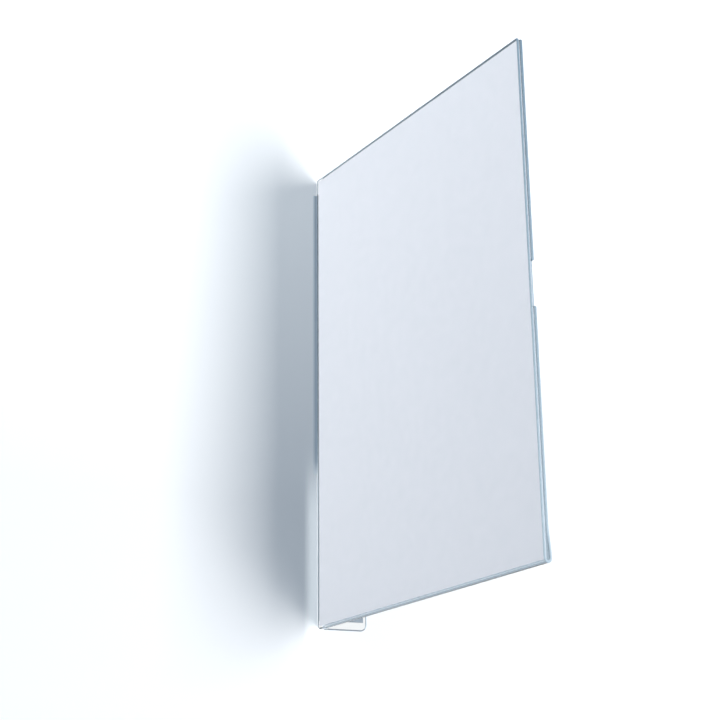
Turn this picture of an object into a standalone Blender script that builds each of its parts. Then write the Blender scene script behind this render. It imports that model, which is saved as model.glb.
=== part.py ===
"""Self-adhesive wall sign holder: a folded clear acrylic sheet, its paper insert and its mounting tape.

Metres, +Z up. The wall is the plane Y = 0 with the room on its -Y side, and the origin is the middle of
the tape's wall face. The panel stands out into the room from one edge of the flange that is taped on.
"""

import math

import bmesh
import bpy
from mathutils import Matrix, Vector

# Paper insert, an A4 sheet standing upright
INSERT_WIDTH = 0.210
INSERT_HEIGHT = 0.297
INSERT_THICKNESS = 0.0003
INSERT_FOOT = 0.0022
INSERT_TOP_MARGIN = 0.0011
INSERT_WALL_MARGIN = 0.0006
INSERT_FREE_MARGIN = 0.0009
INSERT_CLEARANCE = 0.00035

# Acrylic sheet and its bends
SHEET = 0.0015
FOLD_INNER_RADIUS = 0.0011
FOLD_FLARE_LENGTH = 0.018
BEND_INNER_RADIUS = 0.0015
PANEL_ANGLE = math.radians(75.0)
FLANGE_WIDTH = 0.0288
FRONT_SETBACK = 0.0004
RELIEF_SLIT = 0.0010
SEAM_OVERLAP = 0.010
FREE_CORNER_RADIUS = 0.0012
FLANGE_CORNER_RADIUS = 0.004
NOTCH_LENGTH = 0.0263
NOTCH_DEPTH = 0.0018
NOTCH_RISE = 0.001

# Double-sided mounting tape on the flange's wall side
TAPE_THICKNESS = 0.0010
TAPE_FREE_MARGIN = 0.0020
TAPE_CORNER_REACH = 0.0004
TAPE_BOTTOM_MARGIN = 0.0055
TAPE_TOP_MARGIN = 0.0100
BOND_LINE = 0.0002

# Steps on round stretches, the turn from which an edge shows as sharp, how far a cutter reaches past what it
# cuts, and how close two points of an outline are one point
ARC_STEPS = 12
FLARE_STEPS = 8
SHARP_TURN = math.radians(30.0)
CUT_REACH = 0.004
SAME_POINT = 0.000001

# Sizes that follow from the ones above
POCKET_GAP = INSERT_THICKNESS + 2 * INSERT_CLEARANCE
PANEL_WIDTH = INSERT_WALL_MARGIN + INSERT_WIDTH + INSERT_FREE_MARGIN
PANEL_HEIGHT = INSERT_FOOT + INSERT_HEIGHT + INSERT_TOP_MARGIN
REAR_FACE = SHEET + POCKET_GAP
PANEL_DEPTH = REAR_FACE + SHEET
FOLD_OUTER_RADIUS = FOLD_INNER_RADIUS + SHEET
FOLD_ZONE = FOLD_OUTER_RADIUS + FOLD_FLARE_LENGTH
FLARE = 2 * FOLD_INNER_RADIUS - POCKET_GAP
BEND_OUTER_RADIUS = BEND_INNER_RADIUS + SHEET
LEAN = math.pi / 2 - PANEL_ANGLE
BEND_RUN = BEND_OUTER_RADIUS * math.tan((math.pi - PANEL_ANGLE) / 2)
TAPE_WIDTH = FLANGE_WIDTH - TAPE_FREE_MARGIN + TAPE_CORNER_REACH
TAPE_LENGTH = PANEL_HEIGHT - TAPE_BOTTOM_MARGIN - TAPE_TOP_MARGIN
BOTTOM = -TAPE_LENGTH / 2 - TAPE_BOTTOM_MARGIN
FLANGE_FACE = -TAPE_THICKNESS - BOND_LINE
FREE_EDGE = TAPE_WIDTH / 2 + TAPE_FREE_MARGIN

# Along the panel, out from the front sheet's wall edge: the outer corner of the bend, where the bend ends,
# and where the folded part of the rear sheet starts
CORNER_RUN = (POCKET_GAP * math.sin(LEAN) - FRONT_SETBACK) / math.cos(LEAN)
BEND_END = CORNER_RUN + BEND_RUN
FOLD_START = BEND_END + RELIEF_SLIT


def clear_scene():
    for old in list(bpy.data.objects):
        bpy.data.objects.remove(old, do_unlink=True)


def new_collection(name):
    collection = bpy.data.collections.new(name)
    bpy.context.scene.collection.children.link(collection)
    return collection


def new_material(name, colour, roughness, transmission=0.0):
    material = bpy.data.materials.new(name)
    material.use_nodes = True
    shader = material.node_tree.nodes["Principled BSDF"]
    shader.inputs["Base Color"].default_value = (*colour, 1.0)
    shader.inputs["Roughness"].default_value = roughness
    shader.inputs["Metallic"].default_value = 0.0
    shader.inputs["Transmission Weight"].default_value = transmission
    return material


def arc(centre, radius, start, end):
    """Points of a round stretch, from one angle to the other."""
    points = []
    for step in range(ARC_STEPS + 1):
        angle = start + (end - start) * step / ARC_STEPS
        points.append((centre[0] + radius * math.cos(angle), centre[1] + radius * math.sin(angle)))
    return points


def flare(face):
    """Points up one face of the rear sheet, where it eases in from the fold to the flat pocket."""
    points = []
    for step in range(FLARE_STEPS + 1):
        share = step / FLARE_STEPS
        ease = FLARE * (1 + math.cos(math.pi * share)) / 2
        points.append((face + ease, FOLD_OUTER_RADIUS + FOLD_FLARE_LENGTH * share))
    return points


def plate(name, outline, thickness, collection, frame, lie):
    """A flat outline made a closed mesh of this thickness, laid into a frame."""
    curve = bpy.data.curves.new(name, "CURVE")
    curve.dimensions = "2D"
    curve.fill_mode = "BOTH"
    curve.extrude = thickness / 2
    spline = curve.splines.new("POLY")
    spline.points.add(len(outline) - 1)
    for point, (x, y) in zip(spline.points, outline):
        point.co = (x, y, 0.0, 1.0)
    spline.use_cyclic_u = True
    holder = bpy.data.objects.new(name + "_outline", curve)
    collection.objects.link(holder)
    bpy.context.view_layer.update()
    mesh = bpy.data.meshes.new_from_object(holder.evaluated_get(bpy.context.evaluated_depsgraph_get()))
    bm = bmesh.new()
    bm.from_mesh(mesh)
    bmesh.ops.remove_doubles(bm, verts=bm.verts, dist=SAME_POINT)
    bmesh.ops.recalc_face_normals(bm, faces=bm.faces)
    bm.to_mesh(mesh)
    bm.free()
    mesh.transform(lie)
    mesh.name = name
    piece = bpy.data.objects.new(name, mesh)
    collection.objects.link(piece)
    piece.matrix_world = frame
    bpy.data.objects.remove(holder, do_unlink=True)
    return piece


def block(name, low, high, collection, frame):
    """A box between two corners of a frame."""
    mesh = bpy.data.meshes.new(name)
    bm = bmesh.new()
    bmesh.ops.create_cube(bm)
    for corner in bm.verts:
        corner.co = [top if place > 0 else bottom for place, bottom, top in zip(corner.co, low, high)]
    bm.to_mesh(mesh)
    bm.free()
    piece = bpy.data.objects.new(name, mesh)
    collection.objects.link(piece)
    piece.matrix_world = frame
    return piece


def as_tool(piece):
    piece.hide_render = True
    piece.display_type = "WIRE"
    return piece


def boolean(piece, tool, operation="DIFFERENCE"):
    as_tool(tool)
    modifier = piece.modifiers.new(tool.name, "BOOLEAN")
    modifier.operation = operation
    modifier.solver = "EXACT"
    modifier.object = tool


def settle(piece):
    """Make the cuts part of the mesh and shade its round stretches smooth."""
    bpy.context.view_layer.update()
    mesh = bpy.data.meshes.new_from_object(piece.evaluated_get(bpy.context.evaluated_depsgraph_get()))
    mesh.name = piece.name
    piece.modifiers.clear()
    piece.data = mesh
    mesh.shade_smooth()
    mesh.set_sharp_from_angle(angle=SHARP_TURN)


def corner_outline(corner, towards, radius):
    """The waste outside a rounded corner: the corner, run past the edges, less a quarter disc."""
    over = CUT_REACH
    centre = (corner[0] + radius * towards[0], corner[1] + radius * towards[1])
    outline = [
        (centre[0], corner[1]),
        (centre[0], corner[1] - over * towards[1]),
        (corner[0] - over * towards[0], corner[1] - over * towards[1]),
        (corner[0] - over * towards[0], centre[1]),
        (corner[0], centre[1]),
    ]
    start = math.atan2(0.0, -towards[0])
    end = math.atan2(-towards[1], 0.0)
    turn = (end - start + math.pi) % (2 * math.pi) - math.pi
    return outline + arc(centre, radius, start, start + turn)[1:-1]


def panel_frame():
    """The panel's own frame: X back through the pocket, Y towards the wall, Z up from the fold."""
    turn = Matrix.Rotation(LEAN, 4, "Z")
    corner = Vector((FREE_EDGE - FLANGE_WIDTH, FLANGE_FACE, BOTTOM))
    local = Vector((REAR_FACE, -CORNER_RUN, 0.0))
    return Matrix.Translation(corner - turn @ local) @ turn


def pocket_outline():
    """Section of the pocket: the front sheet, round the fold and up the rear sheet."""
    fold = (FOLD_OUTER_RADIUS, FOLD_OUTER_RADIUS)
    outer = arc(fold, FOLD_OUTER_RADIUS, math.pi, 2 * math.pi)
    inner = arc(fold, FOLD_INNER_RADIUS, 2 * math.pi, math.pi)
    outline = [(0.0, PANEL_HEIGHT)] + outer + flare(PANEL_DEPTH)[1:]
    outline += [(PANEL_DEPTH, PANEL_HEIGHT), (REAR_FACE, PANEL_HEIGHT)]
    outline += flare(REAR_FACE)[:0:-1] + inner
    return outline + [(SHEET, PANEL_HEIGHT)]


def flange_outline(frame):
    """Plan of the flange in the panel's frame: from where it overlaps the pocket, round the bend and back."""
    turned = math.pi / 2 - LEAN
    centre = (REAR_FACE + BEND_OUTER_RADIUS, -BEND_END)
    seam = -FOLD_START - SEAM_OVERLAP
    outer = arc(centre, BEND_OUTER_RADIUS, math.pi, turned)
    inner = arc(centre, BEND_INNER_RADIUS, turned, math.pi)
    ends = [frame.inverted() @ Vector((FREE_EDGE, y, 0.0)) for y in (FLANGE_FACE, FLANGE_FACE - SHEET)]
    edge = [(end.x, end.y) for end in ends]
    return [(REAR_FACE, seam)] + outer + edge + inner + [(PANEL_DEPTH, seam)]


def build_holder(parts, tools, frame):
    """The folded sheet: pocket and flange, trimmed apart at the corner relief and joined at the rear sheet."""
    upright = Matrix(((1, 0, 0, 0), (0, 0, -1, 0), (0, 1, 0, 0), (0, 0, 0, 1)))
    middle = Matrix.Translation((0.0, -PANEL_WIDTH / 2, 0.0)) @ upright
    holder = plate("acrylic_holder", pocket_outline(), PANEL_WIDTH, parts, frame, middle)
    high = Matrix.Translation((0.0, 0.0, PANEL_HEIGHT / 2))
    flange = plate("flange_and_bend", flange_outline(frame), PANEL_HEIGHT, tools, frame, high)

    behind = SHEET + POCKET_GAP / 2
    past = PANEL_DEPTH + FLARE + CUT_REACH
    above = PANEL_HEIGHT + CUT_REACH
    end_trim = block(
        "rear_sheet_end_trim", (behind, -FOLD_START, -CUT_REACH), (past, CUT_REACH, above), tools, frame
    )
    boolean(holder, end_trim)
    slit_trim = block(
        "relief_slit_trim",
        (behind, -FOLD_START - SEAM_OVERLAP - CUT_REACH, -CUT_REACH),
        (past, -BEND_END, FOLD_ZONE),
        tools,
        frame,
    )
    boolean(flange, slit_trim)

    top_free = (PANEL_WIDTH, PANEL_HEIGHT)
    sideways = Matrix(((0, 0, 1, PANEL_DEPTH / 2), (-1, 0, 0, 0), (0, 1, 0, 0), (0, 0, 0, 1)))
    free_corner = corner_outline(top_free, (-1, -1), FREE_CORNER_RADIUS)
    boolean(holder, plate("free_corner_trim", free_corner, PANEL_DEPTH + CUT_REACH, tools, frame, sideways))
    notch_low = (PANEL_HEIGHT - NOTCH_LENGTH) / 2 + NOTCH_RISE
    notch = block(
        "finger_notch_trim",
        (behind, -PANEL_WIDTH - CUT_REACH, notch_low),
        (past, -PANEL_WIDTH + NOTCH_DEPTH, notch_low + NOTCH_LENGTH),
        tools,
        frame,
    )
    boolean(holder, notch)

    facing = Matrix.Translation((0.0, FLANGE_FACE - SHEET / 2, 0.0))
    for name, height, way in (("low", BOTTOM, 1), ("high", BOTTOM + PANEL_HEIGHT, -1)):
        outline = corner_outline((FREE_EDGE, height), (-1, way), FLANGE_CORNER_RADIUS)
        trim = plate(f"flange_{name}_corner_trim", outline, SHEET + CUT_REACH, tools, facing, upright)
        boolean(flange, trim)
    boolean(holder, flange, "UNION")
    settle(holder)
    holder.data.materials.append(new_material("clear_acrylic", (0.78, 0.86, 0.90), 0.04, 1.0))


def build_insert(parts, frame):
    """The paper insert, upright in the middle of the pocket and clear of the inside of the fold."""
    back = SHEET + INSERT_CLEARANCE
    low = (back, -INSERT_WALL_MARGIN - INSERT_WIDTH, INSERT_FOOT)
    high = (back + INSERT_THICKNESS, -INSERT_WALL_MARGIN, INSERT_FOOT + INSERT_HEIGHT)
    insert = block("insert_sheet", low, high, parts, frame)
    insert.data.materials.append(new_material("white_paper", (0.80, 0.84, 0.90), 0.75))


def build_tape(parts):
    """The tape strip, whose wall face is the plane Y = 0."""
    low = (-TAPE_WIDTH / 2, -TAPE_THICKNESS, -TAPE_LENGTH / 2)
    high = (TAPE_WIDTH / 2, 0.0, TAPE_LENGTH / 2)
    tape = block("mounting_tape", low, high, parts, Matrix.Identity(4))
    tape.data.materials.append(new_material("foam_tape", (0.40, 0.45, 0.52), 0.85))


def main():
    clear_scene()
    parts = new_collection("sign_holder")
    tools = new_collection("sign_holder_cutters")
    frame = panel_frame()
    build_holder(parts, tools, frame)
    build_insert(parts, frame)
    build_tape(parts)


main()
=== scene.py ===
# %% [markdown]
# # A wall sign holder in clear acrylic
#
# The object is a pocket for one upright A4 sheet. It is bent from a single sheet of clear acrylic: the front
# sheet folds over at the bottom into the rear sheet, and the rear sheet bends at the wall into a flange that
# is stuck on with tape. This lesson dresses the measured model: it models the bent sheet again with round
# bends and scraped edges, gives each piece its material, and adds a wall, light and a camera.

import math

import bmesh
import bpy
from mathutils import Matrix, Vector


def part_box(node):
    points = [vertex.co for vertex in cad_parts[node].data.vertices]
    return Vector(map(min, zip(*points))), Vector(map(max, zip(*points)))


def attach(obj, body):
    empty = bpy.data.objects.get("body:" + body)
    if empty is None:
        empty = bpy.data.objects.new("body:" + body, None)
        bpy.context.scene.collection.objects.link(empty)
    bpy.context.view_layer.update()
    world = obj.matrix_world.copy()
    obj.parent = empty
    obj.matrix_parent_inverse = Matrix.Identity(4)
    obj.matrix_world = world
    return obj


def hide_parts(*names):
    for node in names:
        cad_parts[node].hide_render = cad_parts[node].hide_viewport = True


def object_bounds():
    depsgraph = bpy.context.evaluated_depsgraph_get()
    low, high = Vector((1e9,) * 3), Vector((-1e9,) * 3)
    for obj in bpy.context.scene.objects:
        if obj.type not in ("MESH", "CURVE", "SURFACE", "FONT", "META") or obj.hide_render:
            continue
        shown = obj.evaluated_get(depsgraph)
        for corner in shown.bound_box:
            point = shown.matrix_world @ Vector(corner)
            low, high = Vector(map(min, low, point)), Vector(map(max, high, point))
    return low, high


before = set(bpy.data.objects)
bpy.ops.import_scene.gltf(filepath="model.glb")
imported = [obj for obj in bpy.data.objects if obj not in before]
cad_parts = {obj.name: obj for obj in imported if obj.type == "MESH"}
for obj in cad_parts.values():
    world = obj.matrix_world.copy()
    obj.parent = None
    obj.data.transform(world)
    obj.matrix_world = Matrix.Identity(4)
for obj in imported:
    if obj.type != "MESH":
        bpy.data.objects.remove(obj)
cad_low, cad_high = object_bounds()
print("measured pieces:", sorted(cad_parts))

# %% [markdown]
# ## Small helpers for materials
#
# Colours are written the way a paint chart gives them, as sRGB hex values, and Blender wants linear light, so
# one function turns the first into the second. Another adds one shader node with its settings and links, and
# the last starts an empty material. Everything else about a material is then a plain list of nodes.


# %% Colours and nodes
def linear(code):
    """An sRGB hex value as linear light, by the sRGB standard's own formula."""
    parts = [int(code[i : i + 2], 16) / 255 for i in (1, 3, 5)]
    return [p / 12.92 if p <= 0.04045 else ((p + 0.055) / 1.055) ** 2.4 for p in parts] + [1.0]


def add_node(tree, kind, inputs=(), **settings):
    """Adds a node. Each input is a name or number with a value, or with the socket that feeds it."""
    node = tree.nodes.new(kind)
    for name, value in settings.items():
        setattr(node, name, value)
    for name, value in dict(inputs).items():
        if isinstance(value, bpy.types.NodeSocket):
            tree.links.new(value, node.inputs[name])
        else:
            node.inputs[name].default_value = value
    return node


def new_material(name):
    """An empty node material and its node tree."""
    material = bpy.data.materials.new(name)
    material.use_nodes = True
    material.node_tree.nodes.clear()
    return material, material.node_tree


print("the acrylic's colour as linear light:", [round(v, 3) for v in linear("#FBFDFE")])

# %% [markdown]
# ## The sizes of the bent sheet
#
# The sheet is modelled in the panel's own directions, where it is easiest to think: X goes back through the
# pocket, Y towards the wall and Z up from the fold. The numbers repeat the measured model's, in metres, so the
# dressed sheet lies exactly where the plain one was.

# %% Sizes
SHEET = 0.0015
POCKET_GAP = 0.0010
PANEL_WIDTH = 0.2115
PANEL_HEIGHT = 0.3003
FOLD_RADIUS = 0.0026
BEND_RADIUS = 0.0015
RELIEF_SLIT = 0.001
FRONT_SETBACK = 0.0004
LEAN = math.radians(15)

# The rear sheet's outer side, what a round bend takes up on each side of a sharp corner, and lengths along the
# panel from its wall end: to that corner, to the end of the bend, and past the slit to the start of the fold.
rear_outer = 2 * SHEET + POCKET_GAP
bend_run = (BEND_RADIUS + SHEET) * math.tan((math.pi / 2 + LEAN) / 2)
corner_run = (POCKET_GAP * math.sin(LEAN) - FRONT_SETBACK) / math.cos(LEAN)
bend_end = corner_run + bend_run
fold_start = bend_end + RELIEF_SLIT
print(f"the bend ends {bend_end * 1000:.2f} mm along the panel, the fold starts at {fold_start * 1000:.2f} mm")

# %% [markdown]
# ## The front sheet
#
# Acrylic arrives as a flat sheet, so the model starts as one flat face too: a plane as large as the front
# sheet, standing on edge with its outer side towards the viewer. A box would also do, but a single skin that
# gets its thickness at the end bends more simply, just as the real sheet does. Two cuts mark where the bend and
# the fold will need an edge.

# %% Start from one plane
bpy.ops.object.select_all(action="DESELECT")
bpy.ops.mesh.primitive_plane_add(
    size=1,
    location=(0, -PANEL_WIDTH / 2, (PANEL_HEIGHT + FOLD_RADIUS) / 2),
    rotation=(0, -math.pi / 2, 0),
)
acrylic = bpy.context.object
acrylic.name = acrylic.data.name = "acrylic_sheet"
acrylic.scale = (PANEL_HEIGHT - FOLD_RADIUS, PANEL_WIDTH, 1)
bpy.ops.object.transform_apply(location=True, rotation=True, scale=True)

bpy.ops.object.mode_set(mode="EDIT")
for along in (bend_end, fold_start):
    bpy.ops.mesh.select_all(action="SELECT")
    bpy.ops.mesh.bisect(plane_co=(0, -along, 0), plane_no=(0, 1, 0))
print("front sheet faces:", len(bmesh.from_edit_mesh(acrylic.data).faces))

# %% [markdown]
# ## Picking edges by place
#
# By hand an edge is picked with the mouse. In a script it is picked by where it lies, so this helper selects
# the faces whose middle passes a test, or the edges and points that pass it themselves, and leaves the rest
# unselected.


# %% A helper that selects by place
NEAR = 0.00001


def pick(thing, kind, test):
    """Selects the edges, faces or verts of a thing in edit mode that pass the test, and counts them."""
    bpy.ops.mesh.select_mode(type={"edges": "EDGE", "faces": "FACE", "verts": "VERT"}[kind])
    bpy.ops.mesh.select_all(action="DESELECT")
    mesh = bmesh.from_edit_mesh(thing.data)
    found = 0
    for item in getattr(mesh, kind):
        if kind == "edges":
            points = [v.co for v in item.verts]
        elif kind == "faces":
            points = [item.calc_center_median()]
        else:
            points = [item.co]
        if all(test(*point) for point in points):
            item.select_set(True)
            found += 1
    mesh.select_flush_mode()
    bmesh.update_edit_mesh(thing.data)
    return found


def near(a, b):
    """True where two lengths are the same, apart from rounding."""
    return abs(a - b) < NEAR


print("edges at the fold:", pick(acrylic, "edges", lambda x, y, z: near(z, FOLD_RADIUS)))

# %% [markdown]
# ## The fold at the bottom
#
# On the real holder the bottom is heated along a line and folded right over. A swept curve would give the
# round too, but would have to be joined to the flat sheet. Spin grows it from the sheet's own lower edges: it
# turns them half a circle about the fold's middle and leaves a round skin behind. Above the fold the rear sheet
# eases in towards the front sheet, which gives the folded end its drop-shaped outline.

# %% Fold the sheet over
FOLD_STEPS = 24
pick(acrylic, "edges", lambda x, y, z: near(z, FOLD_RADIUS))
bpy.ops.mesh.spin(
    steps=FOLD_STEPS,
    angle=math.pi,
    center=(FOLD_RADIUS, 0, FOLD_RADIUS),
    axis=(0, 1, 0),
    use_normal_flip=False,
)
lowest = min(v.co.z for v in bmesh.from_edit_mesh(acrylic.data).verts)
print(f"lowest point of the fold: {lowest * 1000:.3f} mm")

# %% Ease the rear sheet in and run it up to the top
FLARE_STEPS = 14
FLARE_LENGTH = 0.018
NOTCH_LENGTH = 0.0263
NOTCH_RISE = 0.001
fold_zone = FOLD_RADIUS + FLARE_LENGTH
flare = 2 * FOLD_RADIUS - rear_outer
last = Vector((2 * FOLD_RADIUS, 0, FOLD_RADIUS))
stops = []
for step in range(1, FLARE_STEPS + 1):
    share = step / FLARE_STEPS
    ease = flare * (1 + math.cos(math.pi * share)) / 2
    stops.append(Vector((rear_outer + ease, 0, FOLD_RADIUS + FLARE_LENGTH * share)))
notch_low = (PANEL_HEIGHT - NOTCH_LENGTH) / 2 + NOTCH_RISE
for height in (notch_low, notch_low + NOTCH_LENGTH, PANEL_HEIGHT):
    stops.append(Vector((rear_outer, 0, height)))
pick(acrylic, "edges", lambda x, y, z: near(x, 2 * FOLD_RADIUS) and near(z, FOLD_RADIUS))
for stop in stops:
    bpy.ops.mesh.extrude_region_move(TRANSFORM_OT_translate={"value": stop - last})
    last = stop
print("rear sheet steps:", len(stops))

# %% [markdown]
# ## The finger notch and the relief slit
#
# The rear sheet has a shallow notch in its free edge, so that a finger reaches the paper. At the wall end the
# fold has to stop short of the bend, or the sheet would have to bend two ways in one spot, so a slit parts
# them. A Boolean with a block would cut both, but in a skin of flat faces it is simpler to delete those that
# are in the way, and the rim stays clean. The notch's face is first split off its row with Bisect.

# %% Cut the notch and the slit
NOTCH_DEPTH = 0.0018
pick(acrylic, "faces", lambda x, y, z: x > rear_outer - NEAR and notch_low < z < notch_low + NOTCH_LENGTH)
bpy.ops.mesh.bisect(plane_co=(0, NOTCH_DEPTH - PANEL_WIDTH, 0), plane_no=(0, 1, 0))
notch = pick(acrylic, "faces", lambda x, y, z: x > rear_outer - NEAR and -y > PANEL_WIDTH - NOTCH_DEPTH)
bpy.ops.mesh.delete(type="FACE")
pocket_middle = SHEET + POCKET_GAP / 2
slit = pick(acrylic, "faces", lambda x, y, z: x > pocket_middle and z < fold_zone and -y < fold_start)
bpy.ops.mesh.delete(type="FACE")
# The strip past the bend's start goes too, because the round bend takes its place.
spare = pick(acrylic, "faces", lambda x, y, z: x > pocket_middle and -y < bend_end)
bpy.ops.mesh.delete(type="FACE")
print("faces cut away:", notch, slit, spare)

# %% [markdown]
# ## The bend and the flange
#
# The second bend turns the rear sheet by more than a right angle, so that the panel stands out from the wall
# at 75 degrees. A Simple Deform modifier bends a mesh as well, but it would take the front sheet with it. So
# this is another spin, about an upright line this time. The flange is one extrusion past it, followed by one
# downwards beside the slit.

# %% Bend the rear sheet at the wall and run the flange out
BEND_STEPS = 16
FLANGE_WIDTH = 0.0288
bend_centre = Vector((rear_outer + BEND_RADIUS, -bend_end, 0))
pick(
    acrylic,
    "edges",
    lambda x, y, z: near(x, rear_outer) and near(-y, bend_end) and z > fold_zone - NEAR,
)
bpy.ops.mesh.spin(
    steps=BEND_STEPS, angle=math.pi / 2 + LEAN, center=bend_centre, axis=(0, 0, 1), use_normal_flip=False
)
along_flange = Vector((math.cos(LEAN), -math.sin(LEAN), 0))
into_wall = Vector((math.sin(LEAN), math.cos(LEAN), 0))
bend_finish = bend_centre + into_wall * BEND_RADIUS
pick(acrylic, "edges", lambda x, y, z: (Vector((x, y, 0)) - bend_finish).length < NEAR)
flange_run = along_flange * (FLANGE_WIDTH - bend_run)
bpy.ops.mesh.extrude_region_move(TRANSFORM_OT_translate={"value": flange_run})
low = pick(
    acrylic,
    "edges",
    lambda x, y, z: near(z, fold_zone) and (x > rear_outer + NEAR or near(-y, bend_end)),
)
bpy.ops.mesh.extrude_region_move(TRANSFORM_OT_translate={"value": (0, 0, -fold_zone)})
print("edges run down beside the slit:", low)

# %% [markdown]
# ## Rounded corners, thickness and scraped edges
#
# The sheet's free corners are rounded, which is a bevel of single points while the sheet is still a skin. Then
# Solidify gives it the thickness of the acrylic, inwards from the skin, and puts the cut edges in a material
# slot of their own. A sawn edge is sharp, so a maker scrapes it round, and a bevel nearly as wide as half the
# sheet follows. It leaves out the relief slit, where there is no room for it. Smooth shading would let that
# bevel tilt the shading of the whole flat sheet, and clear acrylic shows it at once, so Weighted Normal gives
# each flat face its own direction back.

# %% Round the corners
CORNER_STEPS = 8
FREE_CORNER = 0.0012
FLANGE_CORNER = 0.004
free_end = bend_finish + flange_run
corners = pick(acrylic, "verts", lambda x, y, z: near(-y, PANEL_WIDTH) and near(z, PANEL_HEIGHT))
bpy.ops.mesh.bevel(offset=FREE_CORNER, offset_type="OFFSET", segments=CORNER_STEPS, affect="VERTICES")
flange_ends = pick(
    acrylic,
    "verts",
    lambda x, y, z: (Vector((x, y, 0)) - free_end).length < NEAR
    and (near(z, 0) or near(z, PANEL_HEIGHT)),
)
bpy.ops.mesh.bevel(offset=FLANGE_CORNER, offset_type="OFFSET", segments=CORNER_STEPS, affect="VERTICES")
bpy.ops.object.mode_set(mode="OBJECT")
print("corners rounded:", corners + flange_ends)

# %% Give the sheet its thickness
EDGE_SLOT = 1
clear_acrylic, acrylic_tree = new_material("clear cast acrylic")
scraped_edge, edge_tree = new_material("scraped acrylic edge")
acrylic.data.materials.append(clear_acrylic)
acrylic.data.materials.append(scraped_edge)
thick = acrylic.modifiers.new("sheet thickness", "SOLIDIFY")
thick.thickness = SHEET
thick.offset = -1
thick.use_even_offset = True
thick.material_offset_rim = EDGE_SLOT
bpy.ops.object.modifier_apply(modifier=thick.name)
print("solid sheet faces:", len(acrylic.data.polygons))

# %% Scrape the cut edges round
SCRAPE = 0.0006
SCRAPE_STEPS = 4
SHARP = math.radians(50)
SLIT_ROOM = 0.002
SLIT_DEPTH = 0.005
bpy.ops.object.mode_set(mode="EDIT")
bpy.ops.mesh.select_mode(type="EDGE")
bpy.ops.mesh.select_all(action="DESELECT")
bpy.ops.mesh.edges_select_sharp(sharpness=SHARP)
mesh = bmesh.from_edit_mesh(acrylic.data)
# Around the slit the edges stay sharp.
for edge in mesh.edges:
    if all(
        v.co.x < rear_outer + SLIT_DEPTH and -v.co.y < fold_start + SLIT_ROOM and v.co.z < fold_zone + SLIT_ROOM
        for v in edge.verts
    ):
        edge.select_set(False)
scraped = sum(edge.select for edge in mesh.edges)
bmesh.update_edit_mesh(acrylic.data)
bpy.ops.mesh.bevel(
    offset=SCRAPE,
    offset_type="OFFSET",
    segments=SCRAPE_STEPS,
    affect="EDGES",
    clamp_overlap=False,
    material=EDGE_SLOT,
)
bpy.ops.object.mode_set(mode="OBJECT")
print("edges scraped:", scraped)

# %% Shade the round edges smooth and keep the flats flat
SMOOTH_BELOW = math.radians(60)
FLAT_WEIGHT = 100
bpy.ops.object.shade_smooth_by_angle(angle=SMOOTH_BELOW)
flats = acrylic.modifiers.new("flat faces stay flat", "WEIGHTED_NORMAL")
flats.mode = "FACE_AREA"
flats.weight = FLAT_WEIGHT
flats.keep_sharp = True
bpy.ops.object.modifier_apply(modifier=flats.name)
print("acrylic sheet faces:", len(acrylic.data.polygons))

# %% [markdown]
# ## Putting the sheet in its place
#
# The panel leans 15 degrees from square to the wall. The finished sheet is turned and moved once, and the move
# is applied to the mesh, so the object itself stays at the origin as the measured pieces do.

# %% Turn the sheet to the wall
BOND_LINE = 0.0002
TAPE_FREE_MARGIN = 0.002
tape_low, tape_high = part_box("mounting_tape")
sheet_low, sheet_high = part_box("acrylic_holder")
turn = Matrix.Rotation(LEAN, 4, "Z")
outer_corner = Vector((tape_high.x + TAPE_FREE_MARGIN - FLANGE_WIDTH, tape_low.y - BOND_LINE, sheet_low.z))
panel_root = outer_corner - turn @ Vector((SHEET + POCKET_GAP, -corner_run, 0))
acrylic.matrix_world = Matrix.Translation(panel_root) @ turn
bpy.ops.object.select_all(action="DESELECT")
acrylic.select_set(True)
bpy.context.view_layer.objects.active = acrylic
bpy.ops.object.transform_apply(location=True, rotation=True, scale=True)
points = [v.co for v in acrylic.data.vertices]
for i, axis in enumerate("XYZ"):
    here = min(p[i] for p in points), max(p[i] for p in points)
    there = sheet_low[i], sheet_high[i]
    print(axis, "runs from %.5f to %.5f," % here, "measured %.5f to %.5f" % there)

# %% [markdown]
# ## The acrylic
#
# Cast acrylic is clear, with a mirror-smooth skin and an index of refraction of 1.49. Across its thickness it
# takes very little light, a touch more red than blue, which volume absorption gives by itself wherever the
# sheet is thick or seen along its length. The sheet is left out of shadow and bounce rays, so that lamps reach
# the paper behind it without the noise of caustics.

# %% Make the acrylic
# Cast between glass plates, so the skin mirrors the room and hardly blurs what lies behind it.
skin = add_node(
    acrylic_tree,
    "ShaderNodeBsdfPrincipled",
    {"Base Color": linear("#FBFDFE"), "Roughness": 0.02, "IOR": 1.49, "Transmission Weight": 1.0},
)
tint = add_node(acrylic_tree, "ShaderNodeVolumeAbsorption", {"Color": linear("#B4C6D2"), "Density": 74.0})
add_node(acrylic_tree, "ShaderNodeOutputMaterial", {"Surface": skin.outputs[0], "Volume": tint.outputs[0]})
acrylic.visible_shadow = False
acrylic.visible_diffuse = False
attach(acrylic, "holder")
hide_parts("acrylic_holder")
print("acrylic rides on the holder")
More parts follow.
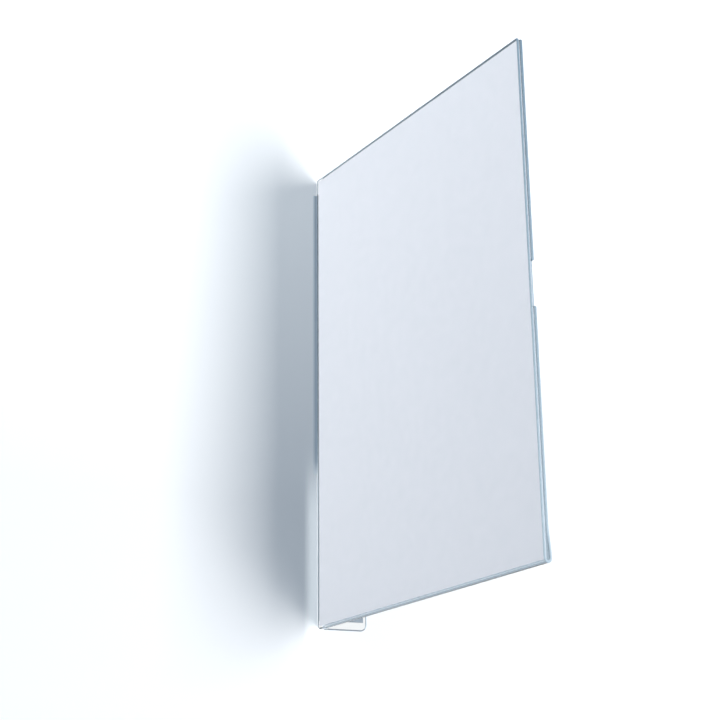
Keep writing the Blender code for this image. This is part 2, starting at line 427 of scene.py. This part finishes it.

# %% [markdown]
# ## The scraped edges
#
# The edges of clear acrylic look blue-grey, because the light that comes out of them has run a long way inside
# the sheet. Tracing that light takes more bounces than a render allows and would end in black, so the edge gets
# an opaque satin skin in that colour instead, with its light and shade painted in by place. The painted tone is
# palest at the wall, darkest at the free top corner, and darker again, as painted shade, where the edge is seen
# from inside the sheet. The scraper leaves marks about 1.5 mm long, which break the colour up a little.

# %% Find out where a spot on the edge lies
# At the foot the painted shade on an edge grows towards the free side by this share of what it does at the top.
FOOT_SHARE = 0.6
place = add_node(edge_tree, "ShaderNodeTexCoord")
spot = add_node(edge_tree, "ShaderNodeSeparateXYZ", {0: place.outputs["Object"]})
height = add_node(
    edge_tree,
    "ShaderNodeMapRange",
    {"Value": spot.outputs["Z"], "From Min": cad_low.z, "From Max": cad_high.z, "To Min": FOOT_SHARE},
)
reach = add_node(
    edge_tree,
    "ShaderNodeMapRange",
    {"Value": spot.outputs["X"], "From Min": cad_low.x, "From Max": cad_high.x},
)
depth = add_node(
    edge_tree, "ShaderNodeMath", {0: height.outputs[0], 1: reach.outputs[0]}, operation="MULTIPLY"
)
print("edge faces:", sum(p.material_index == EDGE_SLOT for p in acrylic.data.polygons))

# %% Paint light and shade on the edges from the wall to the free top corner
SCRAPER_MARK = 0.0015
MARK_SPREAD = 0.12
marks = add_node(
    edge_tree,
    "ShaderNodeTexNoise",
    {"Vector": place.outputs["Object"], "Scale": 1 / SCRAPER_MARK, "Detail": 2.0},
)
spread = add_node(
    edge_tree,
    "ShaderNodeMapRange",
    {"Value": marks.outputs["Fac"], "To Min": -MARK_SPREAD, "To Max": MARK_SPREAD},
)
depth = add_node(edge_tree, "ShaderNodeMath", {0: depth.outputs[0], 1: spread.outputs[0]}, operation="ADD")
# Painted light and shade: pale at the wall end, dark towards the free top corner.
outside = add_node(edge_tree, "ShaderNodeValToRGB", {"Fac": depth.outputs[0]})
outside.color_ramp.elements[0].color = linear("#DCEAF3")
outside.color_ramp.elements[1].color = linear("#788FA1")
# Seen from inside the sheet, the edge is multiplied darker: painted shade.
side = add_node(edge_tree, "ShaderNodeNewGeometry")
tone = add_node(
    edge_tree,
    "ShaderNodeMix",
    {0: side.outputs["Backfacing"], 6: outside.outputs["Color"], 7: linear("#C0C4CA")},
    data_type="RGBA",
    blend_type="MULTIPLY",
)
print("scraper marks are", SCRAPER_MARK, "m long")

# %% Paint the tape's shade into the edges beside it
# Painted shade: the edges beside the tape are darkened from its top to a little below the middle, where the
# tape shows through in shade; further down the darkening fades out.
TAPE_GRIP = 0.002
CONTACT_LOW = -0.042
CONTACT_FADE = 0.02
at_wall = add_node(
    edge_tree, "ShaderNodeMath", {0: spot.outputs["X"], 1: tape_low.x + TAPE_GRIP}, operation="LESS_THAN"
)
below = add_node(edge_tree, "ShaderNodeMath", {0: spot.outputs["Z"], 1: tape_high.z}, operation="LESS_THAN")
above = add_node(
    edge_tree,
    "ShaderNodeMapRange",
    {
        "Value": spot.outputs["Z"],
        "From Min": CONTACT_LOW - CONTACT_FADE,
        "From Max": CONTACT_LOW + CONTACT_FADE,
    },
)
beside = add_node(
    edge_tree, "ShaderNodeMath", {0: below.outputs[0], 1: above.outputs[0]}, operation="MULTIPLY"
)
tape_shade = add_node(
    edge_tree, "ShaderNodeMath", {0: at_wall.outputs[0], 1: beside.outputs[0]}, operation="MULTIPLY"
)
tone = add_node(
    edge_tree,
    "ShaderNodeMix",
    {0: tape_shade.outputs[0], 6: tone.outputs[2], 7: linear("#56636F")},
    data_type="RGBA",
)
print("tape darkens the edges from", CONTACT_LOW, "to", round(tape_high.z, 3))

# %% Paint shade on the flange's lower edge
# Painted shade: the flange's lower edge close to the wall is darkened, as the tape and the wall shade it.
FOOT_REACH = 0.004
FOOT_HEIGHT = 0.0015
near_wall = add_node(
    edge_tree, "ShaderNodeMath", {0: spot.outputs["Y"], 1: cad_high.y - FOOT_REACH}, operation="GREATER_THAN"
)
at_foot = add_node(
    edge_tree, "ShaderNodeMath", {0: spot.outputs["Z"], 1: cad_low.z + FOOT_HEIGHT}, operation="LESS_THAN"
)
foot = add_node(
    edge_tree, "ShaderNodeMath", {0: near_wall.outputs[0], 1: at_foot.outputs[0]}, operation="MULTIPLY"
)
tone = add_node(
    edge_tree,
    "ShaderNodeMix",
    {0: foot.outputs[0], 6: tone.outputs[2], 7: linear("#848E98")},
    data_type="RGBA",
)
print("flange foot is", FOOT_HEIGHT, "m high")

# %% Finish the edges
# A scraped edge is satin: the marks stand up a tenth of a millimetre at most and scatter the shine.
MARK_RISE = 0.0001
rise = add_node(
    edge_tree, "ShaderNodeBump", {"Height": marks.outputs["Fac"], "Strength": 0.3, "Distance": MARK_RISE}
)
skin = add_node(
    edge_tree,
    "ShaderNodeBsdfPrincipled",
    {
        "Base Color": tone.outputs[2],
        "Roughness": 0.5,
        "Specular IOR Level": 0.05,
        "Normal": rise.outputs["Normal"],
    },
)
add_node(edge_tree, "ShaderNodeOutputMaterial", {"Surface": skin.outputs[0]})
print("finished:", scraped_edge.name)

# %% [markdown]
# ## The paper insert
#
# The insert is a plain white sheet of office paper. Its measured shape is right, a thin flat sheet, so it only
# needs its material: bluish white, matt, with the faint cloudiness that paper shows because its fibres settle
# unevenly, and a fine tooth. The sheet throws no light on the wall, which would wash its own shadow out.

# %% Cloud the paper
# Uncoated paper scatters light evenly, so it looks matt and hardly shines. Its clouds are some 6 mm wide.
CLOUD = 0.006
white_paper, tree = new_material("white office paper")
place = add_node(tree, "ShaderNodeTexCoord")
clouds = add_node(
    tree, "ShaderNodeTexNoise", {"Vector": place.outputs["Object"], "Scale": 1 / CLOUD, "Detail": 3.0}
)
shade = add_node(tree, "ShaderNodeValToRGB", {"Fac": clouds.outputs["Fac"]})
shade.color_ramp.elements[0].position = 0.3
shade.color_ramp.elements[0].color = linear("#E4E7EF")
shade.color_ramp.elements[1].position = 0.7
shade.color_ramp.elements[1].color = linear("#E8EAF2")
print("clouds are", CLOUD, "m wide")

# %% Give the paper its tooth
# The fibres are about 0.02 mm wide, which is too fine to show, so the tooth is drawn coarser.
FIBRE = 0.0004
TOOTH_RISE = 0.00005
fibres = add_node(
    tree, "ShaderNodeTexNoise", {"Vector": place.outputs["Object"], "Scale": 1 / FIBRE, "Detail": 2.0}
)
tooth = add_node(
    tree, "ShaderNodeBump", {"Height": fibres.outputs["Fac"], "Strength": 0.15, "Distance": TOOTH_RISE}
)
skin = add_node(
    tree,
    "ShaderNodeBsdfPrincipled",
    {
        "Base Color": shade.outputs["Color"],
        "Roughness": 0.8,
        "Specular IOR Level": 0.3,
        "Normal": tooth.outputs["Normal"],
    },
)
add_node(tree, "ShaderNodeOutputMaterial", {"Surface": skin.outputs[0]})
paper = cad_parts["insert_sheet"]
paper.data.materials.clear()
paper.data.materials.append(white_paper)
paper.visible_diffuse = False
print("finished:", white_paper.name)

# %% [markdown]
# ## The tape
#
# The flange is held by a strip of grey foam tape, seen through the acrylic. Foam has small closed cells, and
# where its glue has wetted the acrylic fully it looks darker than where fine air bubbles stay, so the colour is
# mottled. The measured strip has the right shape already. The cells could be modelled one by one, but from here
# a Voronoi pattern shows as much, and a soft noise gives the patches.

# %% Make the foam
# Foam scatters light and has no gloss, so it looks soft behind the shine of the acrylic.
# Real cells are some 0.2 mm wide and are drawn coarser. Patches of trapped air are a few millimetres wide.
CELL = 0.0007
BUBBLE = 0.004
CELL_RISE = 0.0002
foam_tape, tree = new_material("grey foam tape")
place = add_node(tree, "ShaderNodeTexCoord")
cells = add_node(
    tree, "ShaderNodeTexVoronoi", {"Vector": place.outputs["Object"], "Scale": 1 / CELL}, feature="F1"
)
bubbles = add_node(
    tree, "ShaderNodeTexNoise", {"Vector": place.outputs["Object"], "Scale": 1 / BUBBLE, "Detail": 4.0}
)
shade = add_node(tree, "ShaderNodeValToRGB", {"Fac": bubbles.outputs["Fac"]})
shade.color_ramp.elements[0].position = 0.35
shade.color_ramp.elements[0].color = linear("#84909D")
shade.color_ramp.elements[1].position = 0.65
shade.color_ramp.elements[1].color = linear("#9AA6B2")
grain = add_node(
    tree, "ShaderNodeBump", {"Height": cells.outputs["Distance"], "Strength": 0.4, "Distance": CELL_RISE}
)
skin = add_node(
    tree,
    "ShaderNodeBsdfPrincipled",
    {"Base Color": shade.outputs["Color"], "Roughness": 0.7, "Normal": grain.outputs["Normal"]},
)
add_node(tree, "ShaderNodeOutputMaterial", {"Surface": skin.outputs[0]})
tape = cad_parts["mounting_tape"]
tape.data.materials.clear()
tape.data.materials.append(foam_tape)
print("finished:", foam_tape.name)

# %% [markdown]
# ## The wall and the floor
#
# The holder hangs on a white wall, and the floor lies well below. The wall only shows its room side, so that
# the holder's back can be looked at too, and it doesn't shade the holder or throw light on it. For the eye it
# adds a little light of its own, which makes it paper white and leaves the holder's shadow on it. This glow is
# painted light: bluish, lighter towards the top and plain white far from the holder. In reflections it is plain
# white, or its shadow would darken the front sheet. Two more marks are painted on it by place, since the lamps
# don't give them: a painted shadow line close beside the panel, and a painted streak of light lower down.


# %% Ask which rays belong to the eye
def eye_rays(tree):
    """A socket that is 1 for rays from the camera, or mirrored or let through on their way, and 0 otherwise."""
    path = add_node(tree, "ShaderNodeLightPath")
    seen = path.outputs["Is Camera Ray"]
    for ray in ("Is Glossy Ray", "Is Transmission Ray"):
        larger = add_node(tree, "ShaderNodeMath", {0: seen, 1: path.outputs[ray]}, operation="MAXIMUM")
        seen = larger.outputs[0]
    return seen


# Matt wall paint has no shine, so all that it shows is shadow.
wall_paint, tree = new_material("white wall paint")
print("started:", wall_paint.name)

# %% Give the wall its glow
# The glow is painted light: lighter towards the top, where light from above is stronger, and plain white far
# from the holder.
BLOOM_LOW, BLOOM_HIGH = -0.07, 0.13
WALL_LIT, WALL_WHITE = 0.45, 0.9
place = add_node(tree, "ShaderNodeTexCoord")
spot = add_node(tree, "ShaderNodeSeparateXYZ", {0: place.outputs["Object"]})
climb = add_node(
    tree,
    "ShaderNodeMapRange",
    {"Value": spot.outputs["Z"], "From Min": BLOOM_LOW, "From Max": BLOOM_HIGH},
)
bloom = add_node(tree, "ShaderNodeValToRGB", {"Fac": climb.outputs["Result"]})
bloom.color_ramp.elements[0].color = linear("#395063")
bloom.color_ramp.elements[1].color = linear("#7D8A96")
away = add_node(tree, "ShaderNodeVectorMath", {0: place.outputs["Object"]}, operation="LENGTH")
away = add_node(
    tree,
    "ShaderNodeMapRange",
    {"Value": away.outputs["Value"], "From Min": WALL_LIT, "From Max": WALL_WHITE},
)
bloom = add_node(
    tree,
    "ShaderNodeMix",
    {0: away.outputs["Result"], 6: bloom.outputs["Color"], 7: linear("#FFFFFF")},
    data_type="RGBA",
)
print("the wall turns white from", WALL_LIT, "to", WALL_WHITE, "m away")

# %% Paint the shadow line beside the panel
# Painted shade: a contact shadow on the wall close beside the panel, from the tape's top to a little below the
# middle.
LINE_OUT, LINE_IN = 0.0022, 0.0002
LINE_FADE = 0.01
PANEL_COVER = 0.003
close = add_node(
    tree,
    "ShaderNodeMapRange",
    {"Value": spot.outputs["X"], "From Min": panel_root.x - LINE_OUT, "From Max": panel_root.x - LINE_IN},
)
held = add_node(
    tree,
    "ShaderNodeMapRange",
    {"Value": spot.outputs["Z"], "From Min": CONTACT_LOW - LINE_FADE, "From Max": CONTACT_LOW},
)
below = add_node(tree, "ShaderNodeMath", {0: spot.outputs["Z"], 1: tape_high.z}, operation="LESS_THAN")
beside = add_node(
    tree, "ShaderNodeMath", {0: spot.outputs["X"], 1: panel_root.x + PANEL_COVER}, operation="LESS_THAN"
)
shaded = close
for limit in (held, below, beside):
    shaded = add_node(
        tree, "ShaderNodeMath", {0: shaded.outputs[0], 1: limit.outputs[0]}, operation="MULTIPLY"
    )
paint_tone = add_node(
    tree,
    "ShaderNodeMix",
    {0: shaded.outputs[0], 6: linear("#EDEDED"), 7: linear("#A2AEBA")},
    data_type="RGBA",
)
bloom = add_node(
    tree,
    "ShaderNodeMix",
    {0: shaded.outputs[0], 6: bloom.outputs[2], 7: linear("#4A5A68")},
    data_type="RGBA",
)
print("dark line", LINE_OUT - LINE_IN, "m wide")

# %% Paint the streak of light below it
# Painted light: a pale streak on the wall beside the panel's lower part, for light that the acrylic throws
# there.
STREAK_OUT, STREAK_IN = 0.009, 0.002
STREAK_LIGHT = 0.30
STREAK_TOP, STREAK_FULL = -0.03, -0.08
streak = add_node(
    tree,
    "ShaderNodeMapRange",
    {
        "Value": spot.outputs["X"],
        "From Min": panel_root.x - STREAK_OUT,
        "From Max": panel_root.x - STREAK_IN,
        "To Max": STREAK_LIGHT,
    },
    interpolation_type="SMOOTHSTEP",
)
lower = add_node(
    tree,
    "ShaderNodeMapRange",
    {"Value": spot.outputs["Z"], "From Min": STREAK_TOP, "From Max": STREAK_FULL},
    interpolation_type="SMOOTHSTEP",
)
for limit in (lower, beside):
    streak = add_node(
        tree, "ShaderNodeMath", {0: streak.outputs[0], 1: limit.outputs[0]}, operation="MULTIPLY"
    )
bloom = add_node(
    tree,
    "ShaderNodeMix",
    {0: streak.outputs[0], 6: bloom.outputs[2], 7: linear("#F2FAFC")},
    data_type="RGBA",
    blend_type="ADD",
)
print("streak", STREAK_OUT - STREAK_IN, "m wide")

# %% Put the wall together
WALL_SIZE = 6
WALL_GAP = 0.0006
paint = add_node(tree, "ShaderNodeBsdfDiffuse", {"Color": paint_tone.outputs[2]})
glow = add_node(tree, "ShaderNodeEmission", {"Color": bloom.outputs[2], "Strength": eye_rays(tree)})
both = add_node(tree, "ShaderNodeAddShader", {0: paint.outputs[0], 1: glow.outputs[0]})
mirrored = add_node(tree, "ShaderNodeEmission", {"Color": linear("#FFFFFF"), "Strength": 1.0})
path = add_node(tree, "ShaderNodeLightPath")
room_side = add_node(
    tree,
    "ShaderNodeMixShader",
    {0: path.outputs["Is Glossy Ray"], 1: both.outputs[0], 2: mirrored.outputs[0]},
)
side = add_node(tree, "ShaderNodeNewGeometry")
clear = add_node(tree, "ShaderNodeBsdfTransparent")
front = add_node(
    tree,
    "ShaderNodeMixShader",
    {0: side.outputs["Backfacing"], 1: room_side.outputs[0], 2: clear.outputs[0]},
)
add_node(tree, "ShaderNodeOutputMaterial", {"Surface": front.outputs[0]})

bpy.ops.object.select_all(action="DESELECT")
bpy.ops.mesh.primitive_plane_add(size=WALL_SIZE, location=(0, WALL_GAP, 0), rotation=(math.pi / 2, 0, 0))
wall = bpy.context.object
wall.name = "wall"
bpy.ops.object.transform_apply(location=True, rotation=True, scale=True)
wall.data.materials.append(wall_paint)
wall.visible_shadow = False
wall.visible_diffuse = False
print("wall stands", WALL_GAP, "m behind the tape")

# %% Lay the floor
FLOOR_SIZE = 8
FLOOR_LEVEL = -1.3
# A matt floor, a little darker than the wall, so that the eye can tell them apart.
floor_paint, tree = new_material("pale floor")
paint = add_node(tree, "ShaderNodeBsdfDiffuse", {"Color": linear("#E9EDF0")})
glow = add_node(tree, "ShaderNodeEmission", {"Color": linear("#D3D7DB"), "Strength": eye_rays(tree)})
both = add_node(tree, "ShaderNodeAddShader", {0: paint.outputs[0], 1: glow.outputs[0]})
add_node(tree, "ShaderNodeOutputMaterial", {"Surface": both.outputs[0]})
bpy.ops.object.select_all(action="DESELECT")
bpy.ops.mesh.primitive_plane_add(size=FLOOR_SIZE, location=(0, 0, FLOOR_LEVEL))
floor = bpy.context.object
floor.name = "floor"
floor.data.materials.append(floor_paint)
print("floor lies at", FLOOR_LEVEL, "m")

# %% [markdown]
# ## A dark card behind the panel
#
# Clear acrylic on a white wall would have no outline. A photographer puts dark cards just outside the picture,
# and the edges and bends of the acrylic bend their image into view as dark lines. Here the card is three strips
# close behind the panel, along its top, its free edge and its fold: one plane, cut by Bisect, with the window
# between them deleted. Only rays that have gone through the acrylic from the front see it, so it never shows by
# itself, and it neither shades nor lights anything. Above the fold, rays mirrored inside the acrylic don't see
# it either, because the strips would then show on the back.

# %% Stand the dark card up
# The card's glow, seen only through the acrylic, paints the dark lines there: painted shade.
CARD_REACH = 0.008
CARD_TOP_STRIP = 0.002
CARD_FREE_STRIP = 0.006
CARD_BOTTOM_STRIP = 0.006
CARD_DISTANCE = 0.0015
bpy.ops.object.select_all(action="DESELECT")
bpy.ops.mesh.primitive_plane_add(
    size=1,
    location=(rear_outer + CARD_DISTANCE, -PANEL_WIDTH / 2, PANEL_HEIGHT / 2),
    rotation=(0, -math.pi / 2, 0),
)
card = bpy.context.object
card.name = "dark_card"
card.scale = (PANEL_HEIGHT + 2 * CARD_REACH, PANEL_WIDTH, 1)
bpy.ops.object.transform_apply(location=True, rotation=True, scale=True)
window_edge = PANEL_WIDTH - CARD_FREE_STRIP
window_top = PANEL_HEIGHT - CARD_TOP_STRIP
bpy.ops.object.mode_set(mode="EDIT")
for point, square in (
    ((0, -window_edge, 0), (0, 1, 0)),
    ((0, 0, CARD_BOTTOM_STRIP), (0, 0, 1)),
    ((0, 0, window_top), (0, 0, 1)),
):
    bpy.ops.mesh.select_all(action="SELECT")
    bpy.ops.mesh.bisect(plane_co=point, plane_no=square)
window = pick(card, "faces", lambda x, y, z: -y < window_edge and CARD_BOTTOM_STRIP < z < window_top)
bpy.ops.mesh.delete(type="FACE")
bpy.ops.object.mode_set(mode="OBJECT")
card.matrix_world = Matrix.Translation(panel_root) @ turn
bpy.ops.object.transform_apply(location=True, rotation=True, scale=True)
print("card faces:", len(card.data.polygons), "after cutting out", window)

# %% Colour the card
# The card glows evenly and darker at the top, so the lines that it gives are painted shade, which no lamp or
# shadow changes.
card_paint, tree = new_material("graded grey card")
place = add_node(tree, "ShaderNodeTexCoord")
spot = add_node(tree, "ShaderNodeSeparateXYZ", {0: place.outputs["Object"]})
climb = add_node(
    tree,
    "ShaderNodeMapRange",
    {"Value": spot.outputs["Z"], "From Min": cad_low.z, "From Max": cad_high.z},
)
grade = add_node(tree, "ShaderNodeValToRGB", {"Fac": climb.outputs[0]})
grade.color_ramp.elements[0].color = linear("#A9BBC8")
grade.color_ramp.elements[1].color = linear("#667784")
glow = add_node(tree, "ShaderNodeEmission", {"Color": grade.outputs["Color"], "Strength": 1.0})
print("started:", card_paint.name)

# %% Hide the card from everything but the acrylic
side = add_node(tree, "ShaderNodeNewGeometry")
path = add_node(tree, "ShaderNodeLightPath")
above = add_node(
    tree,
    "ShaderNodeMath",
    {0: spot.outputs["Z"], 1: cad_low.z + CARD_BOTTOM_STRIP},
    operation="GREATER_THAN",
)
mirrored = add_node(
    tree, "ShaderNodeMath", {0: path.outputs["Glossy Depth"], 1: above.outputs[0]}, operation="MULTIPLY"
)
hidden = add_node(
    tree, "ShaderNodeMath", {0: side.outputs["Backfacing"], 1: mirrored.outputs[0]}, operation="MAXIMUM"
)
clear = add_node(tree, "ShaderNodeBsdfTransparent")
front = add_node(
    tree, "ShaderNodeMixShader", {0: hidden.outputs[0], 1: glow.outputs[0], 2: clear.outputs[0]}
)
add_node(tree, "ShaderNodeOutputMaterial", {"Surface": front.outputs[0]})
card.data.materials.append(card_paint)
card.visible_camera = card.visible_glossy = card.visible_diffuse = card.visible_shadow = False
print("card stands", CARD_DISTANCE, "m behind the panel")

# %% [markdown]
# ## Light
#
# A tall soft lamp to the right throws the panel's shadow to the left on the wall. A second one, high on the
# left and close to the wall, lights the front of the sheet, more at the top than at the bottom. A third stands
# behind the wall, which lets its light through, and lights the holder's back for views from there. The right
# and the back lamp are kept out of the acrylic's reflections, where they would show as bright windows. The
# world adds even light from all sides. It could light everything alone, but then the wall would show no clear
# shadow.

# %% Hang the lamps
# Each lamp's place from the holder's middle, its width and height in metres, and its power in watts.
LAMPS = {
    "right softbox": (Vector((0.95, -1.75, -0.2)), (0.52, 1.1), 44),
    "left softbox": (Vector((-1.2, 0.0, 0.55)), (0.5, 0.5), 15.5),
    "back softbox": (Vector((0.9, 0.9, 0.4)), (0.7, 0.7), 14),
}
OUT_OF_REFLECTIONS = ("right softbox", "back softbox")
middle = (cad_low + cad_high) / 2
for name, (offset, size, power) in LAMPS.items():
    bpy.ops.object.select_all(action="DESELECT")
    bpy.ops.object.light_add(type="AREA", location=middle + offset)
    lamp = bpy.context.object
    lamp.name = lamp.data.name = name
    lamp.data.shape = "RECTANGLE"
    lamp.data.size, lamp.data.size_y = size
    lamp.data.energy = power
    lamp.rotation_euler = (-offset).to_track_quat("-Z", "Y").to_euler()
    lamp.visible_camera = False
    lamp.visible_glossy = lamp.visible_transmission = name not in OUT_OF_REFLECTIONS
print("lamps:", *LAMPS)

# %% Fill the room with even light
ROOM_LIGHT = 0.17
world = bpy.data.worlds.new("even studio light")
bpy.context.scene.world = world
world.use_nodes = True
tree = world.node_tree
tree.nodes.clear()
room = add_node(tree, "ShaderNodeBackground", {"Color": linear("#EAF2FB"), "Strength": ROOM_LIGHT})
backdrop = add_node(tree, "ShaderNodeBackground", {"Color": linear("#FFFFFF"), "Strength": 1.0})
either = add_node(
    tree, "ShaderNodeMixShader", {0: eye_rays(tree), 1: room.outputs[0], 2: backdrop.outputs[0]}
)
add_node(tree, "ShaderNodeOutputWorld", {"Surface": either.outputs[0]})
print("world:", world.name)

# %% [markdown]
# ## Camera
#
# The photograph looks up at the holder from below and a little to the left, with a short telephoto lens. The
# place and direction come from the sheet's corners in the picture.

# %% Set up the camera
# The lens and the sensor's width are in millimetres. The place is given from the sheet's outer wall corner.
LENS = 77.715
SENSOR = 36
NEAREST = 0.01
FROM_CORNER = Vector((-0.27853, -0.89367, -0.17064))
right = Vector((0.94749, -0.31960, -0.01100)).normalized()
ahead = Vector((0.30362, 0.88826, 0.34468)).normalized()
up = right.cross(ahead).normalized()
bpy.ops.object.select_all(action="DESELECT")
bpy.ops.object.camera_add(location=outer_corner + FROM_CORNER)
camera = bpy.context.object
camera.data.sensor_width = SENSOR
camera.data.lens = LENS
camera.data.clip_start = NEAREST
camera.rotation_euler = Matrix((right, up, -ahead)).transposed().to_euler()
bpy.context.scene.camera = camera
bpy.context.scene.view_settings.view_transform = "Standard"
print("camera stands at", [round(v, 3) for v in camera.location])
